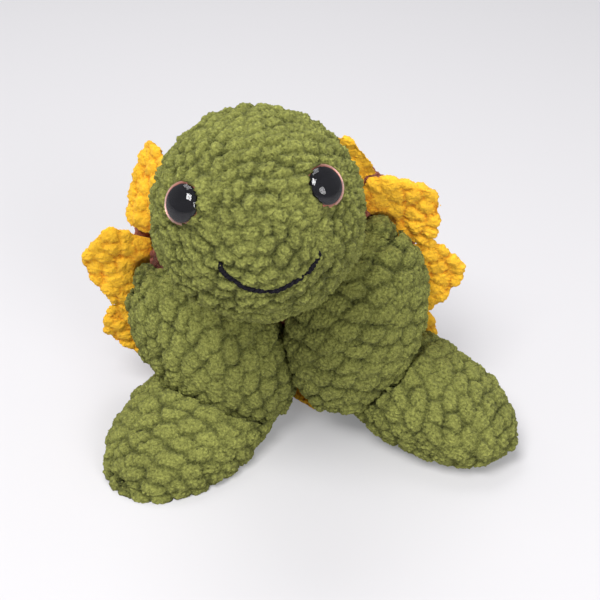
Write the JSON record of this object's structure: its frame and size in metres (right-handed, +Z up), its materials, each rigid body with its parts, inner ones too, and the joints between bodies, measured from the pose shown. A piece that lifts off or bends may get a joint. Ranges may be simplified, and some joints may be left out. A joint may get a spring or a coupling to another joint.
{
  "type": "plush turtle",
  "caption": "Crocheted plush turtle with a petal-edged shell, domed eyes and a stitched smile, sitting up on soft flippers that move on sewn joints.",
  "frame": {"origin": "on the floor, below the middle of the whole turtle", "axes": "+Z up; the turtle faces -Y, and its left side is at +X"},
  "size_m": [0.2934, 0.2114, 0.2625],
  "materials": {
    "green_yarn": "soft chenille pile",
    "yellow_yarn": "soft chenille pile",
    "brown_yarn": "soft chenille pile",
    "black_yarn": "matt wool yarn",
    "stuffing": "loose polyester fibre",
    "eye_lens": "clear and polished",
    "eye_pupil": "glossy black",
    "eye_iris": "pearly copper",
    "eye_washer": "moulded"
  },
  "bodies": {
    "body": {"belly_panel": "brown_yarn", "shell_back": "brown_yarn", "body_stuffing": "stuffing", "rim_seam": "brown_yarn", "petal_01": "yellow_yarn", "petal_02": "yellow_yarn", "petal_03": "yellow_yarn", "petal_04": "yellow_yarn", "petal_05": "yellow_yarn", "petal_06": "yellow_yarn", "petal_07": "yellow_yarn", "petal_08": "yellow_yarn", "petal_09": "yellow_yarn", "petal_10": "yellow_yarn"},
    "neck": {"neck_seam": "green_yarn"},
    "head": {"eye_lens_left": "eye_lens", "eye_pupil_left": "eye_pupil", "eye_iris_left": "eye_iris", "eye_washer_left": "eye_washer", "eye_lens_right": "eye_lens", "eye_pupil_right": "eye_pupil", "eye_iris_right": "eye_iris", "eye_washer_right": "eye_washer", "mouth_yarn": "black_yarn", "head_cover": "green_yarn", "head_stuffing": "stuffing"},
    "front_left_flipper": {"front_left_flipper_cover": "green_yarn", "front_left_flipper_stuffing": "stuffing", "front_left_flipper_seam": "green_yarn"},
    "front_right_flipper": {"front_right_flipper_cover": "green_yarn", "front_right_flipper_stuffing": "stuffing", "front_right_flipper_seam": "green_yarn"},
    "hind_left_flipper": {"hind_left_flipper_cover": "green_yarn", "hind_left_flipper_stuffing": "stuffing", "hind_left_flipper_seam": "green_yarn"},
    "hind_right_flipper": {"hind_right_flipper_cover": "green_yarn", "hind_right_flipper_stuffing": "stuffing", "hind_right_flipper_seam": "green_yarn"}
  },
  "joints": [
    {"name": "head_nod", "type": "hinge", "parent": "body", "child": "neck", "pos_m": [-0.02623, 0.01232, 0.17238], "axis": [-1, 0, 0], "range_deg": [0, 14], "stiffness_Nm_per_rad": 0.15},
    {"name": "head_turn", "type": "hinge", "parent": "neck", "child": "head", "pos_m": [-0.02623, 0.01232, 0.17238], "axis": [0.0233, -0.8907, 0.454], "range_deg": [-25, 25], "stiffness_Nm_per_rad": 0.12},
    {"name": "front_left_lift", "type": "hinge", "parent": "body", "child": "front_left_flipper", "pos_m": [0.04962, 0.02229, 0.14522], "axis": [-0.9445, 0.1306, 0.3014], "range_deg": [0, 30], "stiffness_Nm_per_rad": 0.05},
    {"name": "front_right_lift", "type": "hinge", "parent": "body", "child": "front_right_flipper", "pos_m": [-0.10024, 0.02894, 0.10444], "axis": [-0.7403, -0.4002, -0.5402], "range_deg": [0, 20], "stiffness_Nm_per_rad": 0.05},
    {"name": "hind_left_droop", "type": "hinge", "parent": "body", "child": "hind_left_flipper", "pos_m": [0.0335, 0.03418, 0.04512], "axis": [0.6222, 0.7828, 0], "range_deg": [0, 25], "stiffness_Nm_per_rad": 0.08},
    {"name": "hind_right_droop", "type": "hinge", "parent": "body", "child": "hind_right_flipper", "pos_m": [-0.03746, 0.03594, 0.02827], "axis": [0.774, -0.6332, 0], "range_deg": [0, 25], "stiffness_Nm_per_rad": 0.08}
  ]
}
